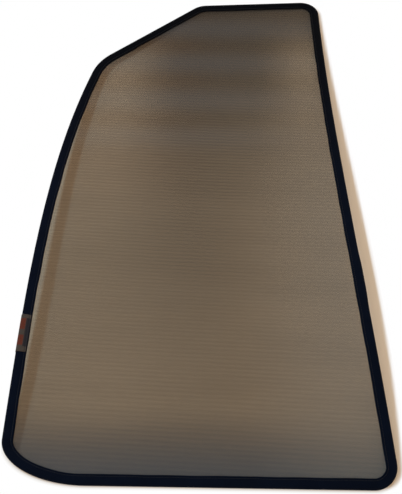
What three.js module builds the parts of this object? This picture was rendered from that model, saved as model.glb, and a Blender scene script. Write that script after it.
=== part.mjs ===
// Sunshade for the front side window of a car. A bowed panel of see-through mesh is bound all round with a
// folded tape, and a ring of spring steel wire inside the tape keeps it stretched. It lies on its two short
// ends with the side that goes against the glass on top.
// Millimetres. +X runs across the shade towards the belt line, +Y from the pillar edge to the nose, +Z up.
import * as THREE from "three";

// Plan, between the sharp corners of the binding's outer edge
const pillarWidth = 454; // pillar edge
const beltLength = 800; // from the pillar edge to the nose
const beltLean = 55; // how far the belt line leans in over that length
const noseWidth = 185; // nose edge, across
const noseFall = 11.5; // how much nearer the nose's windscreen corner is
const screenRun = 148.5; // windscreen edge, across
const screenFall = 131; // windscreen edge, lengthways

// How far each corner's rounding reaches along its sides
const pillarRoofCorner = 51; // along the roof line
const pillarRoofSweep = 100; // along the pillar edge, which it joins slowly
const pillarBeltCorner = 30;
const noseBeltCorner = 28;
const noseScreenCorner = 11;
const screenRoofCorner = 24;

// Degrees that a side's ends stand out from its chord, less than nothing where the side is hollow
const beltAtPillar = -1.5;
const beltAtNose = -2.8;
const roofAtScreen = 9;
const roofAtPillar = 3.3;

// Bow of the whole panel, and the dip of the stretched mesh between the sides
const bowRise = 21.5;
const bowSkew = 0.55; // 0 is highest in the middle, and more brings that place nearer the pillar edge
const meshDip = 3;

// Binding: a tape folded over the wire and stitched through both legs and the mesh between them
const bindingWidth = 13; // outer edge to inner edge
const tapeThickness = 1.1;
const seamInset = 2.6; // stitch line to the tape's inner edge
const seamGroove = 0.25; // how far the stitches pull the tape in
const tapeCrown = 0.3; // how far the tape stands up between the roll and the seam
const lipLength = 0.5; // rounded end of each leg

const wireDiameter = 3.2;
const wirePlay = 0.3; // wire to tape
const wireGap = 1.5; // between the wire's two ends, inside the ferrule
const meshThickness = 0.5;
const meshPlay = 0.3; // mesh to tape and to wire

// Ferrule: the crimped sleeve that joins the wire's ends on the belt line
const ferruleFromCorner = 240; // its middle, from the end of the pillar corner's rounding
const ferruleLength = 30;
const ferruleWall = 0.6;
const ferrulePlay = 0.25; // wire to bore
const crimpDepth = 0.35;
const crimpWidth = 3;
const swellLength = 30; // over which the tape swells to pass the ferrule

// Label: a woven strip folded round the binding on the roof line
const labelFromCorner = 132.5; // its middle, from the start of the pillar corner's rounding
const labelLength = 50;
const labelThickness = 0.5;
const labelPlay = 0.3; // label to tape
const labelShort = 0.8; // how far its ends stop before the tape's inner edge

// Fineness of the facets
const sideStep = 48; // most length of a facet along a side
const cornerStep = 10; // most degrees between facets in a corner
const rollSteps = 8; // facets round the roll
const wireSides = 10;
const ferruleSides = 20;
const panelRings = [0.86, 0.7, 0.53, 0.36, 0.18]; // rings of the panel, as shares of its size
const leastStep = 3; // marks nearer than this to a piece's end are left out

// Sizes worked out from those above
const wireRadius = wireDiameter / 2;
const wireInset = wireRadius + wirePlay + tapeThickness; // wire's middle from the outer edge
const meshInset = wireInset + wireRadius + meshPlay; // mesh's edge from the outer edge
const slotHalf = meshThickness / 2 + meshPlay; // half the room between the tape's legs
const legHeight = slotHalf + tapeThickness; // outside of a leg above the middle of the mesh
const ferruleBore = wireRadius + ferrulePlay;
const ferruleRadius = ferruleBore + ferruleWall;
const ferruleSwell = ferruleRadius - wireRadius;

const pillarRoof = new THREE.Vector2(0, 0);
const pillarBelt = new THREE.Vector2(pillarWidth, 0);
const noseBelt = new THREE.Vector2(pillarWidth - beltLean, beltLength);
const noseScreen = new THREE.Vector2(noseBelt.x - noseWidth, noseBelt.y - noseFall);
const screenRoof = new THREE.Vector2(noseScreen.x - screenRun, noseScreen.y - screenFall);

// Corners in order, counter-clockwise from above. before and after are the reach of the rounding along the
// two sides. leaves and arrives are the degrees that the next side stands out at its start and its end.
const corners = [
  { at: pillarRoof, before: pillarRoofCorner, after: pillarRoofSweep, leaves: 0, arrives: 0 },
  { at: pillarBelt, before: pillarBeltCorner, after: pillarBeltCorner, leaves: beltAtPillar, arrives: beltAtNose },
  { at: noseBelt, before: noseBeltCorner, after: noseBeltCorner, leaves: 0, arrives: 0 },
  { at: noseScreen, before: noseScreenCorner, after: noseScreenCorner, leaves: 0, arrives: 0 },
  { at: screenRoof, before: screenRoofCorner, after: screenRoofCorner, leaves: roofAtScreen, arrives: roofAtPillar },
];

const along = (from, direction, distance) => from.clone().addScaledVector(direction, distance);

// Direction of the side after a corner, turned by some degrees
function sideDirection(i, degrees) {
  const next = corners[(i + 1) % corners.length];
  const chord = next.at.clone().sub(corners[i].at).normalize();
  return chord.rotateAround(new THREE.Vector2(), THREE.MathUtils.degToRad(degrees));
}

// The binding's outer edge in plan: a rounding and a side for each corner in turn, all in one smooth run
function outlineCurves() {
  const path = new THREE.CurvePath();
  const turns = [];
  corners.forEach((corner, i) => {
    const last = (i + corners.length - 1) % corners.length;
    const next = corners[(i + 1) % corners.length];
    const inward = sideDirection(last, corners[last].arrives);
    const onward = sideDirection(i, -corner.leaves);
    const turn = Math.acos(inward.dot(onward));
    const pull = ((4 / 3) * Math.tan(turn / 4)) / Math.tan(turn / 2); // makes an arc where both reaches are alike
    const start = along(corner.at, inward, -corner.before);
    const end = along(corner.at, onward, corner.after);
    const startPull = along(start, inward, corner.before * pull);
    const endPull = along(end, onward, -corner.after * pull);
    path.add(new THREE.CubicBezierCurve(start, startPull, endPull, end));

    const arriving = sideDirection(i, corner.arrives);
    const far = along(next.at, arriving, -next.before);
    const third = end.distanceTo(far) / 3;
    path.add(new THREE.CubicBezierCurve(end, along(end, onward, third), along(far, arriving, -third), far));
    turns.push(THREE.MathUtils.radToDeg(turn));
  });
  return { path, turns };
}

const { path: outline, turns } = outlineCurves();
const around = outline.getLength();
const curveEnds = outline.getCurveLengths(); // distance round the outline to the end of each curve
const beltStart = curveEnds[2];
const ferruleAt = beltStart + ferruleFromCorner;
const labelAt = around - labelFromCorner;

// Distances round the outline at which sections stand: the ends of the short pieces, and even steps between
function sectionMarks() {
  const ends = [labelAt - labelLength / 2, labelAt + labelLength / 2];
  for (const reach of [wireGap / 2, ferruleLength / 2, ferruleLength / 2 + swellLength]) {
    ends.push(ferruleAt - reach, ferruleAt + reach);
  }
  const even = [];
  let from = 0;
  curveEnds.forEach((to, curve) => {
    const steps = curve % 2 ? Math.ceil((to - from) / sideStep) : Math.ceil(turns[curve / 2] / cornerStep);
    for (let k = 0; k < steps; k++) even.push(from + ((to - from) * k) / steps);
    from = to;
  });
  const clear = even.filter((mark) => ends.every((end) => Math.abs(end - mark) > leastStep));
  return [...ends, ...clear].sort((a, b) => a - b);
}

const marks = sectionMarks();

// The marks from one distance round the outline to another, which may lie past its start
function marksBetween(from, to) {
  const rounding = 1e-6;
  const twice = [...marks, ...marks.map((mark) => mark + around)];
  return twice.filter((mark) => mark > from - rounding && mark < to + rounding);
}

// Height of the bowed panel's middle over the line between its two short ends
function bowAt(x, y) {
  const noseSlope = (noseBelt.y - noseScreen.y) / (noseBelt.x - noseScreen.x);
  const noseAt = noseBelt.y + noseSlope * (x - noseBelt.x);
  const share = y / noseAt;
  const skewed = share + bowSkew * share * (1 - share);
  return 4 * bowRise * skewed * (1 - skewed);
}

// A point of the bowed panel, raised along its normal
function onBow(x, y, up) {
  const reach = 0.5; // to each side, for the slope
  const slopeX = (bowAt(x + reach, y) - bowAt(x - reach, y)) / (2 * reach);
  const slopeY = (bowAt(x, y + reach) - bowAt(x, y - reach)) / (2 * reach);
  const normal = new THREE.Vector3(-slopeX, -slopeY, 1).normalize();
  return new THREE.Vector3(x, y, bowAt(x, y)).addScaledVector(normal, up);
}

// The plan point that lies some way inward of the outer edge
function inwardOf(mark, inward) {
  const share = (mark / around) % 1;
  const ahead = outline.getTangent(share);
  return outline.getPoint(share).add(new THREE.Vector2(-ahead.y, ahead.x).multiplyScalar(inward));
}

function geometryOf(points, index) {
  const geometry = new THREE.BufferGeometry();
  geometry.setFromPoints(points);
  geometry.setIndex(index);
  geometry.computeVertexNormals();
  return geometry;
}

// Carries a closed section along the outline. sectionAt gives its [inward, up] points at a mark, in
// counter-clockwise order with the outline running away from the eye.
function sweep(sweepMarks, sectionAt, closed) {
  const points = [];
  const index = [];
  const size = sectionAt(sweepMarks[0]).length;
  for (const mark of sweepMarks) {
    for (const [inward, up] of sectionAt(mark)) {
      const plan = inwardOf(mark, inward);
      points.push(onBow(plan.x, plan.y, up));
    }
  }
  const runs = closed ? sweepMarks.length : sweepMarks.length - 1;
  for (let i = 0; i < runs; i++) {
    const here = i * size;
    const there = ((i + 1) % sweepMarks.length) * size;
    for (let j = 0; j < size; j++) {
      const k = (j + 1) % size;
      index.push(here + j, here + k, there + k, here + j, there + k, there + j);
    }
  }
  if (!closed) {
    const flat = sectionAt(sweepMarks[0]).map(([inward, up]) => new THREE.Vector2(inward, up));
    const end = (sweepMarks.length - 1) * size;
    for (const [a, b, c] of THREE.ShapeUtils.triangulateShape(flat, [])) {
      index.push(c, b, a, end + a, end + b, end + c);
    }
  }
  return geometryOf(points, index);
}

// How far the tape is pushed out and the mesh's edge in at a mark, to pass the ferrule
function swellAt(mark) {
  const past = Math.abs(mark - ferruleAt) - ferruleLength / 2;
  return ferruleSwell * (1 - THREE.MathUtils.smoothstep(past, 0, swellLength));
}

// One face of the folded tape, from the inner end of its top leg, round the roll, to that of its bottom leg.
// The top leg is given as [inward, up] points, and the bottom leg mirrors it.
function foldedFace(topLeg, rollRadius) {
  const roll = [];
  for (let k = 1; k < rollSteps; k++) {
    const angle = Math.PI / 2 + (Math.PI * k) / rollSteps;
    roll.push([wireInset + rollRadius * Math.cos(angle), rollRadius * Math.sin(angle)]);
  }
  const bottomLeg = topLeg.map(([inward, up]) => [inward, -up]).reverse();
  return [...topLeg, ...roll, ...bottomLeg];
}

const seamAt = bindingWidth - seamInset;
const crownAt = (wireInset + seamAt) / 2;

// Outside of the tape at a mark, or a face that stands off it, its legs ending at reach
function tapeOutside(mark, standOff, reach) {
  const rollRadius = wireInset + swellAt(mark) + standOff;
  const seamHeight = legHeight - seamGroove + standOff;
  const crownHeight = (rollRadius + seamHeight) / 2 + tapeCrown;
  const leg = [
    [reach, legHeight + standOff],
    [seamAt, seamHeight],
    [crownAt, crownHeight],
    [wireInset, rollRadius],
  ];
  return foldedFace(leg, rollRadius);
}

function tapeInside(mark) {
  const rollRadius = wireInset + swellAt(mark) - tapeThickness;
  const crownHeight = (rollRadius + slotHalf) / 2 + tapeCrown;
  const leg = [
    [bindingWidth - lipLength, slotHalf],
    [seamAt, slotHalf],
    [crownAt, crownHeight],
    [wireInset, rollRadius],
  ];
  return foldedFace(leg, rollRadius);
}

function bindingSection(mark) {
  const lip = slotHalf + tapeThickness / 2;
  const outside = tapeOutside(mark, 0, bindingWidth - lipLength);
  return [...outside, [bindingWidth, -lip], ...tapeInside(mark).reverse(), [bindingWidth, lip]];
}

function wireSection() {
  const section = [];
  for (let k = 0; k < wireSides; k++) {
    const angle = (2 * Math.PI * k) / wireSides;
    section.push([wireInset + wireRadius * Math.cos(angle), wireRadius * Math.sin(angle)]);
  }
  return section;
}

function labelSection(mark) {
  const reach = bindingWidth - labelShort;
  const outside = tapeOutside(mark, labelPlay + labelThickness, reach);
  return [...outside, ...tapeOutside(mark, labelPlay, reach).reverse()];
}

// The stretched mesh: rings from its bound edge in to the middle, each with a top and a bottom point a mark
function panelGeometry() {
  const inner = marks.map((mark) => inwardOf(mark, bindingWidth));
  const middle = new THREE.Vector2();
  inner.forEach((point) => middle.addScaledVector(point, 1 / inner.length));
  const edge = marks.map((mark) => inwardOf(mark, meshInset + swellAt(mark)));
  const rings = [{ plan: edge, share: 1 }, { plan: inner, share: 1 }];
  for (const share of panelRings) {
    rings.push({ plan: inner.map((point) => middle.clone().lerp(point, share)), share });
  }

  const points = [];
  const addPair = (plan, share) => {
    const dip = meshDip * (1 - share ** 2) ** 2;
    for (const up of [meshThickness / 2, -meshThickness / 2]) {
      const point = onBow(plan.x, plan.y, up);
      point.z -= dip;
      points.push(point);
    }
  };
  for (const { plan, share } of rings) plan.forEach((point) => addPair(point, share));
  addPair(middle, 0);

  const index = [];
  const count = marks.length;
  const top = (ring, i) => 2 * (ring * count + (i % count));
  const bottom = (ring, i) => top(ring, i) + 1;
  const centre = 2 * rings.length * count;
  const lastRing = rings.length - 1;
  for (let i = 0; i < count; i++) {
    index.push(bottom(0, i), bottom(0, i + 1), top(0, i + 1), bottom(0, i), top(0, i + 1), top(0, i));
    for (let ring = 0; ring < lastRing; ring++) {
      index.push(top(ring, i), top(ring, i + 1), top(ring + 1, i + 1));
      index.push(top(ring, i), top(ring + 1, i + 1), top(ring + 1, i));
      index.push(bottom(ring, i), bottom(ring + 1, i + 1), bottom(ring, i + 1));
      index.push(bottom(ring, i), bottom(ring + 1, i), bottom(ring + 1, i + 1));
    }
    index.push(top(lastRing, i), top(lastRing, i + 1), centre);
    index.push(bottom(lastRing, i), centre + 1, bottom(lastRing, i + 1));
  }
  return geometryOf(points, index);
}

// The ferrule's wall is turned about its own axis, with a crimp near each end that grips the wire
function ferruleGeometry() {
  const half = ferruleLength / 2;
  const profile = [
    [ferruleBore, -half],
    [ferruleRadius, -half],
  ];
  for (const crimpAt of [-half / 2, half / 2]) {
    profile.push([ferruleRadius, crimpAt - crimpWidth / 2]);
    profile.push([ferruleRadius - crimpDepth, crimpAt]);
    profile.push([ferruleRadius, crimpAt + crimpWidth / 2]);
  }
  profile.push([ferruleRadius, half], [ferruleBore, half], [ferruleBore, -half]);
  return new THREE.LatheGeometry(
    profile.map(([radius, y]) => new THREE.Vector2(radius, y)),
    ferruleSides,
  );
}

const wireMiddle = (mark) => {
  const plan = inwardOf(mark, wireInset);
  return onBow(plan.x, plan.y, 0);
};

function material(color, roughness, metalness = 0) {
  return new THREE.MeshStandardMaterial({ color, roughness, metalness, side: THREE.DoubleSide });
}

function addPiece(name, geometry, finish) {
  const mesh = new THREE.Mesh(geometry, finish);
  mesh.name = name;
  shade.add(mesh);
  return mesh;
}

const shade = new THREE.Group();
const tapeBlack = material(0x0d1014, 0.85);
const meshBlack = material(0x2a2724, 0.9);
meshBlack.transparent = true;
meshBlack.opacity = 0.7;
const springSteel = material(0x8d9094, 0.35, 1);
const labelGrey = material(0x4a443e, 0.9);

addPiece("mesh_panel", panelGeometry(), meshBlack);
addPiece("edge_binding", sweep(marks, bindingSection, true), tapeBlack);

const wireMarks = marksBetween(ferruleAt + wireGap / 2, ferruleAt - wireGap / 2 + around);
addPiece("frame_wire", sweep(wireMarks, wireSection, false), springSteel);

const ferrule = addPiece("wire_ferrule", ferruleGeometry(), springSteel);
const ferruleStart = wireMiddle(ferruleAt - ferruleLength / 2);
const ferruleEnd = wireMiddle(ferruleAt + ferruleLength / 2);
const ferruleRun = ferruleEnd.clone().sub(ferruleStart).normalize();
ferrule.position.copy(ferruleStart).lerp(ferruleEnd, 0.5);
ferrule.quaternion.setFromUnitVectors(new THREE.Vector3(0, 1, 0), ferruleRun);

const labelMarks = marksBetween(labelAt - labelLength / 2, labelAt + labelLength / 2);
addPiece("label_tag", sweep(labelMarks, labelSection, false), labelGrey);

// The origin is under the middle of the whole shade, on the surface that it lies on
const extent = new THREE.Box3().setFromObject(shade);
const centre = extent.getCenter(new THREE.Vector3());
for (const piece of shade.children) {
  piece.position.sub(new THREE.Vector3(centre.x, centre.y, extent.min.z));
}

export default shade;
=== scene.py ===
import math

import bpy
import numpy as np
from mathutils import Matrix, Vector


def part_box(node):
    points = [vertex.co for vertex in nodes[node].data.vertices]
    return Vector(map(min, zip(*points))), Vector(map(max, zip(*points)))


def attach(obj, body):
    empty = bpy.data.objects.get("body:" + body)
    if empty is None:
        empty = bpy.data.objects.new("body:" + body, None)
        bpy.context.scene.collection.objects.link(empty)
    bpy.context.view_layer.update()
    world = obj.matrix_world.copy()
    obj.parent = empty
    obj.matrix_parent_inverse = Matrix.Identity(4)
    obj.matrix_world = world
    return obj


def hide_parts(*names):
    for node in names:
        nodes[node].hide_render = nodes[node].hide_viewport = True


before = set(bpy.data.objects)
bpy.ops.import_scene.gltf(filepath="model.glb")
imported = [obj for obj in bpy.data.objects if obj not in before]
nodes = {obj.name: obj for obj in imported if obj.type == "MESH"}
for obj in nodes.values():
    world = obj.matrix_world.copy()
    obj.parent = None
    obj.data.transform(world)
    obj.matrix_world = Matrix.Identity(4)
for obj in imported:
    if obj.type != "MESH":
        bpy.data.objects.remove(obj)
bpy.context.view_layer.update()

# Plan, between the sharp corners of the binding's outer edge
PILLAR_WIDTH = 0.454
BELT_LENGTH = 0.800
BELT_LEAN = 0.055
NOSE_WIDTH = 0.185
NOSE_FALL = 0.0115
SCREEN_RUN = 0.1485
SCREEN_FALL = 0.131

# How far each corner's rounding reaches along its sides
PILLAR_ROOF_CORNER = 0.051
PILLAR_ROOF_SWEEP = 0.100
PILLAR_BELT_CORNER = 0.030
NOSE_BELT_CORNER = 0.028
NOSE_SCREEN_CORNER = 0.011
SCREEN_ROOF_CORNER = 0.024

# Degrees that a side's ends stand out from its chord, less than nothing where the side is hollow
BELT_AT_PILLAR = -1.5
BELT_AT_NOSE = -2.8
ROOF_AT_SCREEN = 9
ROOF_AT_PILLAR = 3.3

# Bow of the whole panel, and the dip of the stretched mesh between the sides
BOW_RISE = 0.0215
BOW_SKEW = 0.55
MESH_DIP = 0.003
WAVE_HEIGHT = 0.0006  # slack waves across the mesh, towards the nose
WAVE_LENGTH = 0.078
WAVE_AT = 0.180  # a crest, in the frame
WAVE_FROM = (0.04, 0.13)  # where they start, and where they reach their height

# Binding: a tape folded over the wire and stitched through both legs and the mesh between them
BINDING_WIDTH = 0.013
TAPE_THICKNESS = 0.0011
SEAM_INSET = 0.0026
SEAM_GROOVE = 0.00025
GROOVE_WIDTH = 0.0006
TAPE_CROWN = 0.0003
WIRE_RADIUS = 0.0016
WIRE_PLAY = 0.0003
MESH_THICKNESS = 0.0005
MESH_PLAY = 0.0003
MESH_HOLD = 0.0001  # tape to the middle of the mesh, where the seam pulls it in
FERRULE_FROM_CORNER = 0.240
FERRULE_LENGTH = 0.030
FERRULE_SWELL = 0.00085
SWELL_LENGTH = 0.030
EDGE_DRIFT = 0.00035  # how far the sewn inner edge strays
DRIFT_WAVES = [(17, 0.4), (31, 1.9), (46, 5.1)]  # times round the outline, and where each starts
GATHER_HEIGHT = 0.00022  # small folds where the tape is eased round a corner
GATHER_PITCH = 0.0042
SHARP_TURN = 30  # radians a metre, at which the folds are at their highest

# Label: a woven strip folded round the binding on the roof line
LABEL_FROM_CORNER = 0.1325
LABEL_LENGTH = 0.050
LABEL_THICKNESS = 0.0005
LABEL_SHORT = 0.0008  # how far its ends stop short of the tape's sewn edge
LABEL_GAP = 0.00003
LABEL_SECTIONS = 40

# Sewing
STITCH_PITCH = 0.003
STITCH_LENGTH = 0.0026
THREAD_THICKNESS = 0.00042
STITCH_SINK = 0.00016  # how far a stitch's ends dive into the tape
STITCH_STAND = 0.2  # of the thread's thickness, by which a stitch's middle stands off the tape

# Knitted mesh
HOLE_PITCH = 0.0014  # across
ROW_PITCH = 0.001025  # along
HOLE_EDGE = (-0.9, 0.3)  # heights of the knitting's pattern from closed to open
OPEN_SHARE = 0.81  # how much of a hole lets light through
OPEN_STRAY = 0.16
BAR_PITCH = 0.0056  # between the faint lines that the knitting leaves
BAR_SLANT = 0.04
BAR_DEPTH = 0.05
BAR_DEPTH_ADDED = 0.04  # towards the nose
YARN_RELIEF = 0.00015
FUZZ_GRAIN = 900.0
BROAD_GRAIN = (4.0, 22.0, 1.0)  # across, along and up: stray bands that run across the mesh

# Where the mesh's look changes, from where a change starts to where it is full: first along, then across.
# Apart from the deeper bars, these place the painted shade and painted reflections on the mesh.
PILLAR_END = (-0.392, -0.300)
NOSE_END = (-0.06, 0.33)
NOSE_TIP = (0.27, 0.37)
DEEPER_BARS = (-0.2, 0.1)
MIDDLE_SHADE_DEEPENS = (-0.25, -0.08)
ROOF_SHADE_ALONG = (-0.08, 0.12)
MIDDLE = (-0.075, 0.060, 0.075)  # from, to, and how soft its edges are
NOSE_ROOF_SIDE = (-0.13, -0.03)
NOSE_BELT_SIDE = (0.06, 0.165)
PILLAR_BELT_SIDE = (0.05, 0.20)
ROOF_SHADE_ACROSS = (-0.10, 0.05)
BELT_REFLECTION_SIDE = (0.03, 0.20)

# Painted shade: how far the mesh is closed there, as a share of its openness, so that it renders darker
PILLAR_SHADE = 0.58
PILLAR_BELT_SPARES = 0.25  # share of that which its belt side is spared
NOSE_SHADE = 0.46
NOSE_SIDES_SPARE = 1.15  # over 1, so there its long sides are opened a little
TIP_SHADE = 0.16
TIP_EVENS = 0.8  # how much less its sides differ from its middle at the tip
MIDDLE_SHADE = 0.06
MIDDLE_SHADE_MORE = 0.12
MIDDLE_SPARED_AT_NOSE = 0.04

# Colours in linear light, and how strongly they come in
YARN_DARK = (0.020, 0.016, 0.012)
YARN_LIGHT = (0.052, 0.041, 0.031)
# Painted cool reflection on the yarn near the pillar end
REFLECTION_AT_PILLAR = (0.052, 0.062, 0.074)
# Painted warm shade on the yarn by the roof line
SHADE_AT_ROOF = (0.058, 0.030, 0.015)
# Painted cool reflection on the yarn along the belt line
REFLECTION_AT_BELT = (0.075, 0.095, 0.110)
# Painted highlight on the crest of each slack wave
HIGHLIGHT_ON_CRESTS = (0.056, 0.056, 0.058)
ROOF_SHADE_WEIGHT = 0.6
BELT_REFLECTION_WEIGHT = 0.7
CREST_HIGHLIGHT_WEIGHT = 0.8
# The tape's blue is a painted cool reflection on black tape; the spread between these two is the tape's own
# patchy tone
TAPE_DARK = (0.0002, 0.0010, 0.0044)
TAPE_LIGHT = (0.0020, 0.0060, 0.0180)
TAPE_AT_NOSE = (0.0002, 0.0003, 0.0007)
REFLECTION_FADE_WEIGHT = 0.8
TAPE_FUZZ = (0.45, 0.62, 1.0)
THREAD_DARK = (0.004, 0.005, 0.008)
THREAD_LIGHT = (0.016, 0.018, 0.024)
LABEL_DARK = (0.030, 0.024, 0.019)
LABEL_LIGHT = (0.070, 0.054, 0.044)
LABEL_FIELD = (0.013, 0.012, 0.016)
LABEL_BAR_DARK = (0.060, 0.010, 0.005)
LABEL_BAR_LIGHT = (0.135, 0.028, 0.012)
WIRE_STEEL = (0.45, 0.46, 0.48)
WIRE_GRAIN = 1500.0
FERRULE_ZINC = (0.55, 0.55, 0.56)
ZINC_GRAIN = 600.0
STEEL_RELIEF = 0.00004
WHITE = (1.0, 1.0, 1.0)

# Weaves of the tape, the thread and the label
RIB_PITCH = (0.0009, 0.0011)  # along and across the tape
TAPE_PICK_PITCH = 0.00055
LINT_GRAIN = 700.0
PATCH_GRAIN = 35.0
TAPE_RELIEF = 0.00012
# The painted cool reflection on the tape fades along here, towards the nose
TAPE_REFLECTION_FADES = (-0.05, 0.33)  # along, towards the nose
TWIST_GRAIN = 2600.0
FINE_RELIEF = 0.00008
SATIN_PITCH = 0.0005
LABEL_PICK_PITCH = 0.0004
LABEL_FIELD_ALONG = (0.005, 0.043, 0.001)  # from, to, and how soft the edges are
LABEL_FIELD_ACROSS = (-0.002, 0.0052, 0.0008)
LABEL_BARS_ALONG = ((0.0055, 0.0205, 0.0008), (0.0280, 0.0415, 0.0008))
LABEL_BARS_ACROSS = (0.0056, 0.0150, 0.0008)

# Fineness
SIDE_STEP = 0.004
CORNER_STEP = 0.0009
CORNER_TURN = 4  # radians a metre, above which the outline counts as a corner
PANEL_RINGS = 36
PANEL_STEP = 0.006
ROLL_POINTS = 17
LIP_POINTS = 9
ROOM_POINTS = 9
FLOOR_STEP = 0.02
FLOOR_CORNER_STEP = 0.003

# Sizes worked out from those above
WIRE_INSET = WIRE_RADIUS + WIRE_PLAY + TAPE_THICKNESS
MESH_INSET = WIRE_INSET + WIRE_RADIUS + MESH_PLAY
LEG_HEIGHT = MESH_THICKNESS / 2 + MESH_PLAY + TAPE_THICKNESS
SEAM_AT = BINDING_WIDTH - SEAM_INSET
LIP_RADIUS = (LEG_HEIGHT - MESH_HOLD) / 2

# Camera, as the photograph was taken. The place that it looks at is given from the pillar and roof corner.
CAMERA_AIM = (0.2249, 0.3161, 0.020)
CAMERA_ELEVATION = 55
CAMERA_AZIMUTH = 1
CAMERA_DISTANCE = 1.284
LENS = 72.87  # millimetres, on a sensor whose long side is 36

# Light: a soft lamp on the left, and an even glow from all round
LAMP_REACH = 0.95
LAMP_HEIGHT = 1.33
LAMP_SIZE = 0.22
LAMP_POWER = 10.8
LAMP_COLOUR = (0.42, 0.70, 1.0)
GLOW_COLOUR = (1.0, 0.85, 0.69)
GLOW = 0.82

# Floor: rings at these distances outside the shade's outline, and one far out
FLOOR_RINGS = (-0.012, -0.006, -0.002, *np.arange(0.001, 0.034, 0.003), 0.05)
FLOOR_REACH = 4.0
FLOOR_WARM = (0.86, 0.66, 0.445)
FLOOR_PALE = (0.81, 0.72, 0.62)
WARM_EDGE = 0.004
WHITE_FROM = -0.002  # outside the outline, where the camera starts to see white
WHITE_OVER = 0.005
SHADOW_SLOPE = 0.85  # how much further out the white starts, for the height of the edge that casts the shadow
SHADOW_SIDE = (0.3, 0.9)  # how squarely an edge has to face +X for that


def turned(direction, degrees):
    a = math.radians(degrees)
    return np.array([
        direction[0] * math.cos(a) - direction[1] * math.sin(a),
        direction[0] * math.sin(a) + direction[1] * math.cos(a),
    ])


def bezier(a, b, c, d, share):
    t = share[:, None]
    return (1 - t) ** 3 * a + 3 * (1 - t) ** 2 * t * b + 3 * (1 - t) * t**2 * c + t**3 * d


def smoothstep(value, low, high):
    t = np.clip((value - low) / (high - low), 0, 1)
    return t * t * (3 - 2 * t)


class Outline:
    """The binding's outer edge in plan, counter-clockwise from the rounding of the pillar and roof corner."""

    FINE = 400  # points on each curve

    def __init__(self):
        pillar_belt = np.array([PILLAR_WIDTH, 0])
        nose_belt = np.array([PILLAR_WIDTH - BELT_LEAN, BELT_LENGTH])
        nose_screen = nose_belt - [NOSE_WIDTH, NOSE_FALL]
        screen_roof = nose_screen - [SCREEN_RUN, SCREEN_FALL]
        # Each corner's place, its reach before and after, and how the next side leaves and arrives
        self.corners = [
            (np.zeros(2), PILLAR_ROOF_CORNER, PILLAR_ROOF_SWEEP, 0, 0),
            (pillar_belt, PILLAR_BELT_CORNER, PILLAR_BELT_CORNER, BELT_AT_PILLAR, BELT_AT_NOSE),
            (nose_belt, NOSE_BELT_CORNER, NOSE_BELT_CORNER, 0, 0),
            (nose_screen, NOSE_SCREEN_CORNER, NOSE_SCREEN_CORNER, 0, 0),
            (screen_roof, SCREEN_ROOF_CORNER, SCREEN_ROOF_CORNER, ROOF_AT_SCREEN, ROOF_AT_PILLAR),
        ]
        self.nose_belt = nose_belt
        share = np.linspace(0, 1, self.FINE)
        curves = [bezier(*curve, share)[:-1] for curve in self.curves()]
        points = np.concatenate([*curves, curves[0][:1]])
        steps = np.linalg.norm(np.diff(points, axis=0), axis=1)
        self.marks = np.concatenate([[0], np.cumsum(steps)])
        self.around = self.marks[-1]
        self.curve_ends = self.marks[np.cumsum([len(curve) for curve in curves])]
        self.points = points
        lapped = np.concatenate([points[-2:-1], points, points[1:2]])
        ahead = lapped[2:] - lapped[:-2]
        self.ahead = ahead / np.linalg.norm(ahead, axis=1)[:, None]
        heading = np.unwrap(np.arctan2(self.ahead[:, 1], self.ahead[:, 0]))
        self.turn = np.gradient(heading, self.marks)

    def direction(self, i, degrees):
        chord = self.corners[(i + 1) % len(self.corners)][0] - self.corners[i][0]
        return turned(chord / np.linalg.norm(chord), degrees)

    def curves(self):
        """A rounding and a side for each corner in turn, as the four points of a Bezier curve."""
        for i, (at, before, after, leaves, arrives) in enumerate(self.corners):
            last = (i - 1) % len(self.corners)
            coming = self.direction(last, self.corners[last][4])
            going = self.direction(i, -leaves)
            turn = math.acos(coming @ going)
            factor = 4 / 3 * math.tan(turn / 4) / math.tan(turn / 2)
            start, end = at - coming * before, at + going * after
            yield start, start + coming * before * factor, end - going * after * factor, end
            next_at, next_before = self.corners[(i + 1) % len(self.corners)][:2]
            arriving = self.direction(i, arrives)
            far = next_at - arriving * next_before
            third = np.linalg.norm(far - end) / 3
            yield end, end + going * third, far - arriving * third, far

    def at(self, mark, inward=0.0):
        """Plan points some way inward of the outer edge, at distances round it."""
        mark = np.mod(mark, self.around)
        x, y, ahead_x, ahead_y = (
            np.interp(mark, self.marks, column) for column in (*self.points.T, *self.ahead.T)
        )
        return x - ahead_y * inward, y + ahead_x * inward

    def turning(self, mark):
        """How sharply the outline turns, in radians a metre."""
        return np.interp(np.mod(mark, self.around), self.marks, self.turn)

    def steps(self, side_step, corner_step):
        """Distances round the outline, closer together in the corners."""
        fine = np.linspace(0, self.around, 20000)
        in_corner = smoothstep(np.abs(self.turning(fine)), 0, CORNER_TURN)
        rate = 1 / (side_step + (corner_step - side_step) * in_corner)
        done = np.concatenate([[0], np.cumsum((rate[1:] + rate[:-1]) / 2 * np.diff(fine))])
        return np.interp(np.linspace(0, done[-1], int(done[-1]) + 1)[:-1], done, fine)


outline = Outline()
FERRULE_AT = outline.curve_ends[2] + FERRULE_FROM_CORNER
LABEL_AT = outline.around - LABEL_FROM_CORNER


def bow(x, y):
    nose_at = outline.nose_belt[1] + NOSE_FALL / NOSE_WIDTH * (x - outline.nose_belt[0])
    share = y / nose_at
    skewed = share + BOW_SKEW * share * (1 - share)
    return 4 * BOW_RISE * skewed * (1 - skewed)


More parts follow.
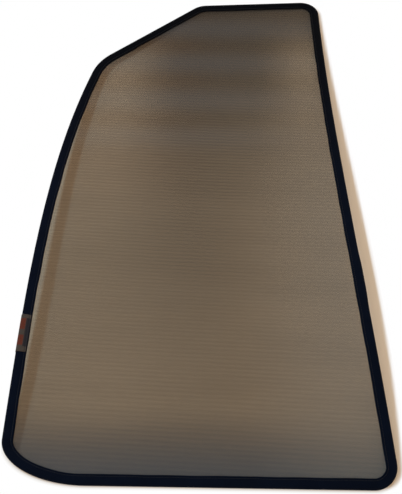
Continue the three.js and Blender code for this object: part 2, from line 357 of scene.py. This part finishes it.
def on_bow(x, y, up):
    """Points of the bowed panel, raised along its normal, measured from the pillar and roof corner."""
    reach = 0.0005
    slope_x = (bow(x + reach, y) - bow(x - reach, y)) / (2 * reach)
    slope_y = (bow(x, y + reach) - bow(x, y - reach)) / (2 * reach)
    rise = up / np.sqrt(slope_x**2 + slope_y**2 + 1)
    return np.stack([x - slope_x * rise, y - slope_y * rise, bow(x, y) + rise], axis=-1)


def shift_to_frame():
    """How far the corner that the plan is measured from lies from the frame's origin."""
    low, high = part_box("edge_binding")
    x, y = outline.at(outline.marks)
    under = on_bow(*outline.at(outline.marks, WIRE_INSET), -WIRE_INSET)[:, 2]
    return np.array([
        (low.x + high.x) / 2 - (x.min() + x.max()) / 2,
        (low.y + high.y) / 2 - (y.min() + y.max()) / 2,
        low.z - under.min(),
    ])


SHIFT = shift_to_frame()


def lay(mark, inward, up):
    """Points in the frame, at distances round the outline, inward of it and above the panel's middle."""
    mark, inward, up = np.broadcast_arrays(mark, inward, up)
    return on_bow(*outline.at(mark, inward), up) + SHIFT


def deselect_all():
    if bpy.context.object and bpy.context.object.mode != "OBJECT":
        bpy.ops.object.mode_set(mode="OBJECT")
    bpy.ops.object.select_all(action="DESELECT")


def make_piece(name, points, faces, uvs=None):
    """A smooth mesh object. uvs gives a pair for each corner of each face in turn."""
    mesh = bpy.data.meshes.new(name)
    mesh.from_pydata(np.reshape(points, (-1, 3)).tolist(), [], faces)
    if uvs is not None:
        layer = mesh.uv_layers.new(name="Cloth")
        layer.data.foreach_set("uv", np.asarray(uvs, np.float32).ravel())
    mesh.shade_smooth()
    piece = bpy.data.objects.new(name, mesh)
    bpy.context.scene.collection.objects.link(piece)
    return piece


def swept(marks, inward, up, closed):
    """Points, faces and UVs of a closed section carried along the outline. Each row of inward and up is the
    section at a mark, in counter-clockwise order with the outline running away from the eye."""
    points = lay(marks[:, None], inward, up)
    count, size = inward.shape
    lapped_inward = np.append(inward[0], inward[0, 0])
    lapped_up = np.append(up[0], up[0, 0])
    across = np.concatenate([[0], np.cumsum(np.hypot(np.diff(lapped_inward), np.diff(lapped_up)))])
    along = np.append(marks, outline.around + marks[0])
    here, j = np.meshgrid(np.arange(count if closed else count - 1), np.arange(size), indexing="ij")
    there, k = (here + 1) % count, (j + 1) % size
    faces = np.stack([here * size + j, here * size + k, there * size + k, there * size + j], axis=-1)
    u = np.stack([along[here], along[here], along[here + 1], along[here + 1]], axis=-1)
    v = np.stack([across[j], across[j + 1], across[j + 1], across[j]], axis=-1)
    return points, faces.reshape(-1, 4).tolist(), np.stack([u, v], axis=-1).reshape(-1, 2)


# Binding

def swell(mark):
    """How far the tape is pushed out to pass the ferrule."""
    past = np.abs(mark - FERRULE_AT) - FERRULE_LENGTH / 2
    return FERRULE_SWELL * (1 - smoothstep(past, 0, SWELL_LENGTH))


def ripple(mark, waves):
    """A wave that closes on itself round the outline, between about -1 and 1."""
    turn = 2 * np.pi * mark / outline.around
    return sum(np.sin(count * turn + phase) for count, phase in waves) / len(waves)


def edge_drift(mark):
    """How far the sewn edge strays inward of its line."""
    return EDGE_DRIFT * ripple(mark, DRIFT_WAVES)


def gather(mark, side):
    """Height of the small folds of the tape at its sewn edge."""
    folds = np.sin(2 * np.pi * mark / GATHER_PITCH + side + 2 * ripple(mark, [(37, side), (59, 2.0)]))
    eased = np.clip(outline.turning(mark) / SHARP_TURN, 0, 1)
    return GATHER_HEIGHT * eased * folds


def tape_face(mark, inward, side, stand_off=0.0):
    """Height of the tape's outside above the middle of the mesh, on its leg of one side."""
    roll_height = WIRE_INSET + swell(mark)
    share = np.clip((inward - WIRE_INSET) / (SEAM_AT - WIRE_INSET), 0, 1)
    groove = SEAM_GROOVE * np.exp(-(((inward - SEAM_AT) / GROOVE_WIDTH) ** 2))
    leg = LEG_HEIGHT + (roll_height - LEG_HEIGHT) * (1 - share) + 4 * TAPE_CROWN * share * (1 - share)
    return leg - groove + gather(mark, side) * share**2 + stand_off


def strayed(mark, inward):
    """The tape's places across its width, carried along by its straying edge."""
    share = np.clip((inward - WIRE_INSET) / (SEAM_AT - WIRE_INSET), 0, 1)
    return inward + edge_drift(mark) * share**2


def outside_of_tape(marks, reach, stand_off=0.0):
    """Sections of the tape's outside, from the top leg's reach round the roll to the bottom leg's reach."""
    mark = marks[:, None]
    leg = np.concatenate([
        np.linspace(reach, SEAM_AT + GROOVE_WIDTH, 3),
        np.linspace(SEAM_AT + GROOVE_WIDTH / 2, SEAM_AT - 1.5 * GROOVE_WIDTH, 5),
        np.linspace(SEAM_AT - 2.5 * GROOVE_WIDTH, WIRE_INSET, 7),
    ])[None, :]
    angle = np.linspace(np.pi / 2, 3 * np.pi / 2, ROLL_POINTS)[None, 1:-1]
    radius = WIRE_INSET + swell(mark) + stand_off
    top = tape_face(mark, leg, 0, stand_off)
    bottom = -tape_face(mark, leg[:, ::-1], 1, stand_off)
    across = strayed(mark, leg)
    inward = np.concatenate([across, WIRE_INSET + radius * np.cos(angle), across[:, ::-1]], axis=1)
    return inward, np.concatenate([top, radius * np.sin(angle), bottom], axis=1)


def tape_sections(marks):
    mark = marks[:, None]
    inward, up = outside_of_tape(marks, BINDING_WIDTH - LIP_RADIUS)
    angle = np.linspace(np.pi / 2, -np.pi / 2, LIP_POINTS)[None, 1:]
    lip_inward = BINDING_WIDTH - LIP_RADIUS + edge_drift(mark) + LIP_RADIUS * np.cos(angle)
    lip_up = np.broadcast_to(MESH_HOLD + LIP_RADIUS + LIP_RADIUS * np.sin(angle), lip_inward.shape)

    # Inside: along the mesh to the seam, then apart to the room round the wire
    leg = np.linspace(SEAM_AT, WIRE_INSET, 5)[None, 1:]
    share = (leg - WIRE_INSET) / (SEAM_AT - WIRE_INSET)
    radius = WIRE_INSET + swell(mark) - TAPE_THICKNESS
    leg_up = MESH_HOLD + (radius - MESH_HOLD) * (1 - share)
    leg_inward = strayed(mark, leg)
    roll = np.linspace(np.pi / 2, 3 * np.pi / 2, ROOM_POINTS)[None, 1:-1]
    roll_inward = WIRE_INSET + radius * np.cos(roll)
    inside_inward = np.concatenate([leg_inward, roll_inward, leg_inward[:, ::-1]], axis=1)
    inside_up = np.concatenate([leg_up, radius * np.sin(roll), -leg_up[:, ::-1]], axis=1)
    return (
        np.concatenate([inward, lip_inward[:, ::-1], inside_inward[:, ::-1], lip_inward], axis=1),
        np.concatenate([up, -lip_up[:, ::-1], inside_up[:, ::-1], lip_up], axis=1),
    )


def make_binding():
    marks = outline.steps(SIDE_STEP, CORNER_STEP)
    return make_piece("binding_tape", *swept(marks, *tape_sections(marks), closed=True))


# Sewing

def stitch_model():
    """One stitch, along X: a short length of thread whose ends dive into the tape."""
    deselect_all()
    bpy.ops.mesh.primitive_uv_sphere_add(segments=6, ring_count=6, radius=0.5, rotation=(0, math.pi / 2, 0))
    model = bpy.context.object
    bpy.ops.object.transform_apply(location=False, rotation=True, scale=False)
    bpy.ops.object.mode_set(mode="EDIT")
    bpy.ops.transform.resize(value=(STITCH_LENGTH, THREAD_THICKNESS, THREAD_THICKNESS))
    bpy.ops.mesh.select_all(action="DESELECT")
    bpy.ops.object.mode_set(mode="OBJECT")
    for vertex in model.data.vertices:
        vertex.select = abs(vertex.co.x) > STITCH_LENGTH * 0.4
    bpy.ops.object.mode_set(mode="EDIT")
    bpy.ops.transform.translate(value=(0, 0, -STITCH_SINK))
    bpy.ops.object.mode_set(mode="OBJECT")
    return model


def repeat_along(model, name, marks, inward, up, side):
    """Copies of a small model laid along the outline: its X runs along, its Y inward and its Z up from the
    middle of the mesh, or down on the other side."""
    local = np.array([v.co for v in model.data.vertices])
    faces = [list(f.vertices) for f in model.data.polygons]
    # Along, inward and up turn left-handed when the side is the upper one, so that one is turned back
    if side > 0:
        faces = [face[::-1] for face in faces]
    points = lay(
        marks[:, None] + local[None, :, 0],
        inward[:, None] + local[None, :, 1],
        side * (up[:, None] + local[None, :, 2]),
    )
    every = [[v + i * len(local) for v in face] for i in range(len(marks)) for face in faces]
    return make_piece(name, points, every)


def make_seams():
    """The seam through both legs, seen as a row of stitches on either side. It passes over the label."""
    model = stitch_model()
    marks = np.arange(round(outline.around / STITCH_PITCH)) * STITCH_PITCH
    over = (np.abs(marks - LABEL_AT) < LABEL_LENGTH / 2) * LABEL_THICKNESS
    inward = SEAM_AT + edge_drift(marks)
    seams = []
    for name, side in (("seam_thread_top", 1), ("seam_thread_under", -1)):
        height = tape_face(marks, np.full_like(marks, SEAM_AT), 0 if side > 0 else 1) + over
        seams.append(repeat_along(model, name, marks, inward, height + STITCH_STAND * THREAD_THICKNESS, side))
    bpy.data.objects.remove(model)
    return seams


# Label

def make_label():
    marks = np.linspace(LABEL_AT - LABEL_LENGTH / 2, LABEL_AT + LABEL_LENGTH / 2, LABEL_SECTIONS)
    reach = BINDING_WIDTH - LABEL_SHORT
    outer = outside_of_tape(marks, reach, LABEL_THICKNESS)
    inner = outside_of_tape(marks, reach, LABEL_GAP)
    inward = np.concatenate([outer[0], inner[0][:, ::-1]], axis=1)
    up = np.concatenate([outer[1], inner[1][:, ::-1]], axis=1)
    points, faces, uvs = swept(marks, inward, up, closed=False)
    uvs[:, 0] -= marks[0]
    size = inward.shape[1]
    end = (len(marks) - 1) * size
    for j in range(size // 2 - 1):
        k = size - 1 - j
        faces.append([j + 1, j, k, k - 1])
        faces.append([end + j, end + j + 1, end + k - 1, end + k])
        uvs = np.concatenate([uvs, np.zeros((8, 2))])
    return make_piece("side_label", points, faces, uvs)


# Mesh

def make_mesh():
    """The sheet of mesh: rings from its bound edge in to the middle."""
    marks = outline.steps(PANEL_STEP, PANEL_STEP / 2)
    count = len(marks)
    edge = np.stack(outline.at(marks, MESH_INSET + swell(marks)), axis=-1)
    inner = np.stack(outline.at(marks, BINDING_WIDTH), axis=-1)
    middle = inner.mean(axis=0)
    shares = np.linspace(1, 0, PANEL_RINGS + 1)
    plans = np.stack([edge, *(middle + (inner - middle) * share for share in shares[:-1])])
    dips = np.array([0, *(MESH_DIP * (1 - share**2) ** 2 for share in shares[:-1])])
    plans = np.concatenate([plans.reshape(-1, 2), middle[None]])
    slack = np.append(np.repeat([0, *(1 - shares[:-1] ** 4)], count), 1)
    points = on_bow(plans[:, 0], plans[:, 1], np.zeros(len(plans))) + SHIFT
    slack = slack * smoothstep(points[:, 1], *WAVE_FROM)
    turn = 2 * np.pi * (points[:, 1] - WAVE_AT) / WAVE_LENGTH
    dips = np.append(np.repeat(dips, count), MESH_DIP) - WAVE_HEIGHT * slack * np.cos(turn)
    points[:, 2] -= dips
    rings = PANEL_RINGS + 1
    faces = []
    for ring in range(rings - 1):
        for i in range(count):
            j = (i + 1) % count
            here, there = ring * count, (ring + 1) * count
            faces.append([here + i, here + j, there + j, there + i])
    last = (rings - 1) * count
    faces += [[last + i, last + (i + 1) % count, rings * count] for i in range(count)]
    corners = np.concatenate(faces)
    return make_piece("mesh_sheet", points, faces, points[corners][:, :2])


# Materials

class Level:
    """A value on its way through a material. Arithmetic on it adds Math nodes."""

    def __init__(self, finish, socket):
        self.finish = finish
        self.socket = socket

    def math(self, operation, *values):
        sockets = {i: value for i, value in enumerate(values)}
        return self.finish.level("Math", {"operation": operation}, sockets)

    def __add__(self, other):
        return self.math("ADD", self, other)

    def __sub__(self, other):
        return self.math("SUBTRACT", self, other)

    def __rsub__(self, other):
        return self.math("SUBTRACT", other, self)

    def __mul__(self, other):
        return self.math("MULTIPLY", self, other)

    __radd__ = __add__
    __rmul__ = __mul__

    def cos(self):
        return self.math("COSINE", self)

    def sin(self):
        return self.math("SINE", self)

    def between(self, low, high):
        """0 up to low and 1 from high, and smooth from one to the other."""
        settings = {"interpolation_type": "SMOOTHSTEP", "clamp": True}
        return self.finish.level("MapRange", settings, {"Value": self, "From Min": low, "From Max": high})

    def within(self, low, high, edge):
        """1 between low and high, and 0 outside, with edges that are a little soft."""
        return self.between(low - edge, low + edge) * (1 - self.between(high - edge, high + edge))


def rgba(colour):
    return (*colour, 1.0)


class Finish:
    """A material and the nodes that make its look."""

    def __init__(self, name):
        self.material = bpy.data.materials.new(name)
        self.material.use_nodes = True
        self.tree = self.material.node_tree
        self.tree.nodes.clear()

    def add(self, kind, settings=None, values=None):
        """A node of some type. Its settings are set first, then the values or links of its sockets."""
        node = self.tree.nodes.new("ShaderNode" + kind)
        for key, value in (settings or {}).items():
            setattr(node, key, value)
        for key, value in (values or {}).items():
            if isinstance(value, Level):
                self.tree.links.new(value.socket, node.inputs[key])
            elif isinstance(value, bpy.types.NodeSocket):
                self.tree.links.new(value, node.inputs[key])
            else:
                node.inputs[key].default_value = value
        return node

    def level(self, kind, settings=None, values=None, output=0):
        """One output of a new node, ready for arithmetic."""
        return Level(self, self.add(kind, settings, values).outputs[output])

    def cloth(self):
        """Distance along the piece and across it, in metres."""
        uv = self.add("UVMap", {"uv_map": "Cloth"}).outputs["UV"]
        parts = self.add("SeparateXYZ", None, {0: uv})
        return uv, Level(self, parts.outputs["X"]), Level(self, parts.outputs["Y"])

    def object_place(self):
        """Where a point is in the frame, then its distance across and along."""
        place = self.add("TexCoord").outputs["Object"]
        parts = self.add("SeparateXYZ", None, {0: place})
        return place, Level(self, parts.outputs["X"]), Level(self, parts.outputs["Y"])

    def noise(self, place, scale, detail):
        values = {"Vector": place, "Scale": scale, "Detail": detail, "Roughness": 0.55}
        return self.level("TexNoise", None, values)

    def mix(self, share, a, b):
        """A colour between two others."""
        a, b = (rgba(c) if isinstance(c, tuple) else c for c in (a, b))
        return self.add("Mix", {"data_type": "RGBA"}, {0: share, 6: a, 7: b}).outputs[2]

    def bump(self, height, distance):
        return self.add("Bump", None, {"Height": height, "Distance": distance}).outputs[0]

    def surface(self, **values):
        """The Principled shader, its sockets named with underscores for spaces."""
        sockets = {key.replace("_", " "): value for key, value in values.items()}
        for key, value in sockets.items():
            if isinstance(value, tuple):
                sockets[key] = rgba(value)
        return self.add("BsdfPrincipled", None, sockets).outputs[0]

    def out(self, shader):
        self.add("OutputMaterial", None, {"Surface": shader})
        return self.material


def waves(level, pitch):
    """How far through its turns a repeat is, in radians."""
    return level * (2 * math.pi / pitch)


def openness_under_painted_shade(across, along):
    """Painted shade on the mesh, as the share of its openness that is kept: most near its long sides, and
    least at its two ends and across its middle, which render darker.
    """
    at_pillar = 1 - along.between(*PILLAR_END)
    at_nose = along.between(*NOSE_END)
    at_tip = along.between(*NOSE_TIP)
    nose_inner = across.between(*NOSE_ROOF_SIDE) * (1 - across.between(*NOSE_BELT_SIDE))
    at_sides = (1 - nose_inner) * (1 - TIP_EVENS * at_tip)
    factor = 1 - PILLAR_SHADE * at_pillar * (1 - PILLAR_BELT_SPARES * across.between(*PILLAR_BELT_SIDE))
    factor = factor * (1 - NOSE_SHADE * at_nose * (1 - NOSE_SIDES_SPARE * at_sides))
    factor = factor * (1 - TIP_SHADE * at_tip)
    shade_in_middle = MIDDLE_SHADE + MIDDLE_SHADE_MORE * along.between(*MIDDLE_SHADE_DEEPENS)
    shade_in_middle = shade_in_middle - MIDDLE_SPARED_AT_NOSE * at_nose
    return factor * (1 - shade_in_middle * across.within(*MIDDLE))


def mesh_finish():
    """Black knitted mesh: staggered rows of six-sided holes between soft yarns."""
    f = Finish("knitted_mesh")
    place, across, along = f.cloth()
    row = waves(along, 2 * ROW_PITCH)
    holes = (2 * row).cos() + 2 * waves(across, HOLE_PITCH).cos() * row.cos()
    bars = waves(along + BAR_SLANT * across, BAR_PITCH).cos()
    bars = bars * (BAR_DEPTH + BAR_DEPTH_ADDED * along.between(*DEEPER_BARS))
    drawn_out = f.add("VectorMath", {"operation": "MULTIPLY"}, {0: place, 1: BROAD_GRAIN}).outputs[0]
    broad = f.noise(drawn_out, 1.0, 2.0)
    open_share = holes.between(*HOLE_EDGE) * (OPEN_SHARE + OPEN_STRAY * broad + bars)
    # Painted shade: the openness is cut at the ends and across the middle, so the mesh renders darker there
    open_share = open_share * openness_under_painted_shade(across, along)

    # Yarn with a painted cool reflection near the pillar edge and the belt line, a painted highlight on each
    # crest of the slack waves, and a painted warm shade by the roof line
    fuzz = f.noise(place, FUZZ_GRAIN, 2.0)
    yarn = f.mix(0.35 * fuzz + 0.65 * broad, YARN_DARK, YARN_LIGHT)
    # Painted cool reflection towards the pillar end
    yarn = f.mix(1 - along.between(*PILLAR_END), yarn, REFLECTION_AT_PILLAR)
    # Painted warm shade by the roof line, towards the nose
    roof_shade_mask = along.between(*ROOF_SHADE_ALONG) * (1 - across.between(*ROOF_SHADE_ACROSS))
    yarn = f.mix(ROOF_SHADE_WEIGHT * roof_shade_mask, yarn, SHADE_AT_ROOF)
    # Painted cool reflection along the belt line, away from the nose
    belt_reflection_mask = across.between(*BELT_REFLECTION_SIDE) * (1 - along.between(*NOSE_END))
    yarn = f.mix(BELT_REFLECTION_WEIGHT * belt_reflection_mask, yarn, REFLECTION_AT_BELT)
    # Painted highlight on each crest of the slack waves
    crest_highlight_mask = (0.5 + 0.5 * waves(along - WAVE_AT, WAVE_LENGTH).cos()) * along.between(*WAVE_FROM)
    yarn = f.mix(CREST_HIGHLIGHT_WEIGHT * crest_highlight_mask, yarn, HIGHLIGHT_ON_CRESTS)
    relief = f.bump(-0.4 * holes + 0.3 * fuzz, YARN_RELIEF)
    return f.out(f.surface(
        Base_Color=yarn, Roughness=0.8, Specular_IOR_Level=0.25, Alpha=1 - open_share, Normal=relief,
    ))


def tape_finish():
    """Ribbed black tape, a little fuzzy, with a painted cool reflection that makes it blue-black, fading to
    plain black towards the nose.
    """
    f = Finish("binding_tape")
    place, along, across = f.cloth()
    rib = (waves(along, RIB_PITCH[0]) + waves(across, RIB_PITCH[1])).sin()
    pick = waves(across, TAPE_PICK_PITCH).sin()
    lint = f.noise(place, LINT_GRAIN, 3.0)
    patches = f.noise(place, PATCH_GRAIN, 2.0)
    colour = f.mix(0.5 * patches + 0.3 * lint + 0.1 * rib, TAPE_DARK, TAPE_LIGHT)
    # Painted cool reflection, fading towards the nose
    reflection_fade_mask = f.object_place()[2].between(*TAPE_REFLECTION_FADES)
    return f.out(f.surface(
        Base_Color=f.mix(REFLECTION_FADE_WEIGHT * reflection_fade_mask, colour, TAPE_AT_NOSE),
        Roughness=0.60 + 0.2 * lint, Specular_IOR_Level=0.04,
        Sheen_Weight=0.008, Sheen_Roughness=0.5, Sheen_Tint=TAPE_FUZZ,
        Normal=f.bump(0.6 * rib + 0.3 * pick + 0.6 * lint, TAPE_RELIEF),
    ))


def thread_finish():
    """Twisted black polyester thread."""
    f = Finish("seam_thread")
    twist = f.noise(f.object_place()[0], TWIST_GRAIN, 1.0)
    return f.out(f.surface(
        Base_Color=f.mix(twist, THREAD_DARK, THREAD_LIGHT), Roughness=0.5, Specular_IOR_Level=0.35,
        Normal=f.bump(twist, FINE_RELIEF),
    ))


def label_finish():
    """Woven grey-brown label with two plain orange-red bars."""
    f = Finish("woven_label")
    place, along, across = f.cloth()
    satin = waves(along, SATIN_PITCH).sin()
    picks = waves(across, LABEL_PICK_PITCH).sin()
    speckle = f.noise(place, FUZZ_GRAIN, 2.0)
    field = across.within(*LABEL_FIELD_ACROSS) * along.within(*LABEL_FIELD_ALONG)
    ground = f.mix(field, f.mix(speckle, LABEL_DARK, LABEL_LIGHT), LABEL_FIELD)
    first, second = (along.within(*bar) for bar in LABEL_BARS_ALONG)
    bars = (first + second) * across.within(*LABEL_BARS_ACROSS)
    red = f.mix(speckle, LABEL_BAR_DARK, LABEL_BAR_LIGHT)
    return f.out(f.surface(
        Base_Color=f.mix(bars, ground, red), Roughness=0.7, Specular_IOR_Level=0.2,
        Normal=f.bump(0.5 * satin + 0.3 * picks + 0.4 * bars, FINE_RELIEF),
    ))


def steel_finish(name, colour, roughness, grain):
    """Drawn or plated steel, with fine marks from its making."""
    f = Finish(name)
    place = f.object_place()[0]
    marks = f.noise(place, grain, 4.0)
    blotch = f.noise(place, grain / 9, 2.0)
    dull = tuple(0.6 * c for c in colour)
    return f.out(f.surface(
        Base_Color=f.mix(0.5 * marks + 0.5 * blotch, dull, colour), Metallic=1.0,
        Roughness=roughness + 0.2 * marks, Normal=f.bump(marks, STEEL_RELIEF),
    ))


def floor_finish():
    """Plain pale floor: warm under the shade, and white where the camera sees it away from the shade."""
    f = Finish("floor")
    apart = f.level("Attribute", {"attribute_name": "apart"}, None, "Fac")
    colour = f.mix(apart.between(-WARM_EDGE, WARM_EDGE), FLOOR_WARM, FLOOR_PALE)
    lit = f.surface(Base_Color=colour, Roughness=1.0, Specular_IOR_Level=0.0)
    path = f.add("LightPath").outputs
    seen = [Level(f, path[name]) for name in ("Is Camera Ray", "Is Glossy Ray", "Is Transmission Ray")]
    white = f.add("Emission", None, {"Color": rgba(WHITE), "Strength": 1.0}).outputs[0]
    share = (seen[0] + seen[1] + seen[2]) * f.level("Attribute", {"attribute_name": "white"}, None, "Fac")
    return f.out(f.add("MixShader", None, {0: share, 1: lit, 2: white}).outputs[0])


def make_floor():
    """A floor in rings round the shade, which hold how far each place lies outside its outline, and how white
    the camera sees it."""
    marks = outline.steps(FLOOR_STEP, FLOOR_CORNER_STEP)
    count = len(marks)
    rings = [np.stack(outline.at(marks, -apart), axis=-1) for apart in FLOOR_RINGS]
    middle = rings[0].mean(axis=0)
    away = (rings[-1] - middle) / np.linalg.norm(rings[-1] - middle, axis=1)[:, None]
    rings.append(middle + away * FLOOR_REACH)
    plan = np.concatenate([middle[None], *rings]) + SHIFT[:2]
    points = np.column_stack([plan, np.zeros(len(plan))])
    apart = np.concatenate([[FLOOR_RINGS[0]], np.repeat([*FLOOR_RINGS, FLOOR_REACH], count)])
    faces = [[0, 1 + i, 1 + (i + 1) % count] for i in range(count)]
    for ring in range(len(rings) - 1):
        here, there = 1 + ring * count, 1 + (ring + 1) * count
        for i in range(count):
            j = (i + 1) % count
            faces.append([here + i, there + i, there + j, here + j])
    floor = make_piece("floor", points, faces)
    outward_x = outline.at(marks, -1)[0] - outline.at(marks)[0]
    edge_height = bow(*outline.at(marks)) + WIRE_INSET
    shadow = SHADOW_SLOPE * edge_height * smoothstep(outward_x, *SHADOW_SIDE)
    white_from = np.tile(WHITE_FROM + shadow, len(rings))
    white = np.append(0, smoothstep(apart[1:], white_from, white_from + WHITE_OVER))
    for key, values in (("apart", apart), ("white", white)):
        layer = floor.data.attributes.new(key, "FLOAT", "POINT")
        layer.data.foreach_set("value", values.astype(np.float32))
    floor.data.materials.append(floor_finish())


def aim(thing, target):
    thing.rotation_euler = (Vector(target) - thing.location).to_track_quat("-Z", "Y").to_euler()


def make_light():
    lamp = bpy.data.lights.new("window_side_lamp", "AREA")
    lamp.size = LAMP_SIZE
    lamp.energy = LAMP_POWER
    lamp.color = LAMP_COLOUR
    lamp_object = bpy.data.objects.new("window_side_lamp", lamp)
    lamp_object.location = (-LAMP_REACH, 0, LAMP_HEIGHT)
    aim(lamp_object, (0, 0, 0))
    bpy.context.scene.collection.objects.link(lamp_object)

    world = bpy.data.worlds.new("soft_glow")
    world.use_nodes = True
    tree = world.node_tree
    tree.nodes.clear()
    path = tree.nodes.new("ShaderNodeLightPath")
    seen = tree.nodes.new("ShaderNodeMath")
    seen.operation = "MAXIMUM"
    tree.links.new(path.outputs["Is Camera Ray"], seen.inputs[0])
    tree.links.new(path.outputs["Is Transmission Ray"], seen.inputs[1])
    glow = tree.nodes.new("ShaderNodeBackground")
    glow.inputs["Color"].default_value = rgba(GLOW_COLOUR)
    glow.inputs["Strength"].default_value = GLOW
    backdrop = tree.nodes.new("ShaderNodeBackground")
    backdrop.inputs["Color"].default_value = rgba(WHITE)
    mixed = tree.nodes.new("ShaderNodeMixShader")
    out = tree.nodes.new("ShaderNodeOutputWorld")
    tree.links.new(seen.outputs[0], mixed.inputs[0])
    tree.links.new(glow.outputs[0], mixed.inputs[1])
    tree.links.new(backdrop.outputs[0], mixed.inputs[2])
    tree.links.new(mixed.outputs[0], out.inputs[0])
    bpy.context.scene.world = world


def make_camera():
    data = bpy.data.cameras.new("camera")
    data.lens = LENS
    camera = bpy.data.objects.new("camera", data)
    target = Vector(SHIFT[:2].tolist() + [0]) + Vector(CAMERA_AIM)
    a, e = math.radians(CAMERA_AZIMUTH), math.radians(CAMERA_ELEVATION)
    back = Vector((math.sin(a) * math.cos(e), -math.cos(a) * math.cos(e), math.sin(e)))
    camera.location = target + back * CAMERA_DISTANCE
    aim(camera, target)
    bpy.context.scene.collection.objects.link(camera)
    bpy.context.scene.camera = camera


make_camera()
make_light()
make_floor()

binding = make_binding()
seams = make_seams()
label = make_label()
mesh = make_mesh()

for piece, finish, slot, replaced in (
    (mesh, mesh_finish(), "mesh", ["mesh_panel"]),
    (binding, tape_finish(), "tape", ["edge_binding"]),
    (label, label_finish(), "label", ["label_tag"]),
    *((seam, thread_finish(), "tape", []) for seam in seams),
):
    piece.data.materials.append(finish)
    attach(piece, "root")
    if replaced:
        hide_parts(*replaced)

for name, finish in (
    ("frame_wire", steel_finish("drawn_spring_steel", WIRE_STEEL, 0.3, WIRE_GRAIN)),
    ("wire_ferrule", steel_finish("zinc_plate", FERRULE_ZINC, 0.4, ZINC_GRAIN)),
):
    for slot in nodes[name].material_slots:
        slot.material = finish

bpy.context.scene.view_settings.view_transform = "Standard"
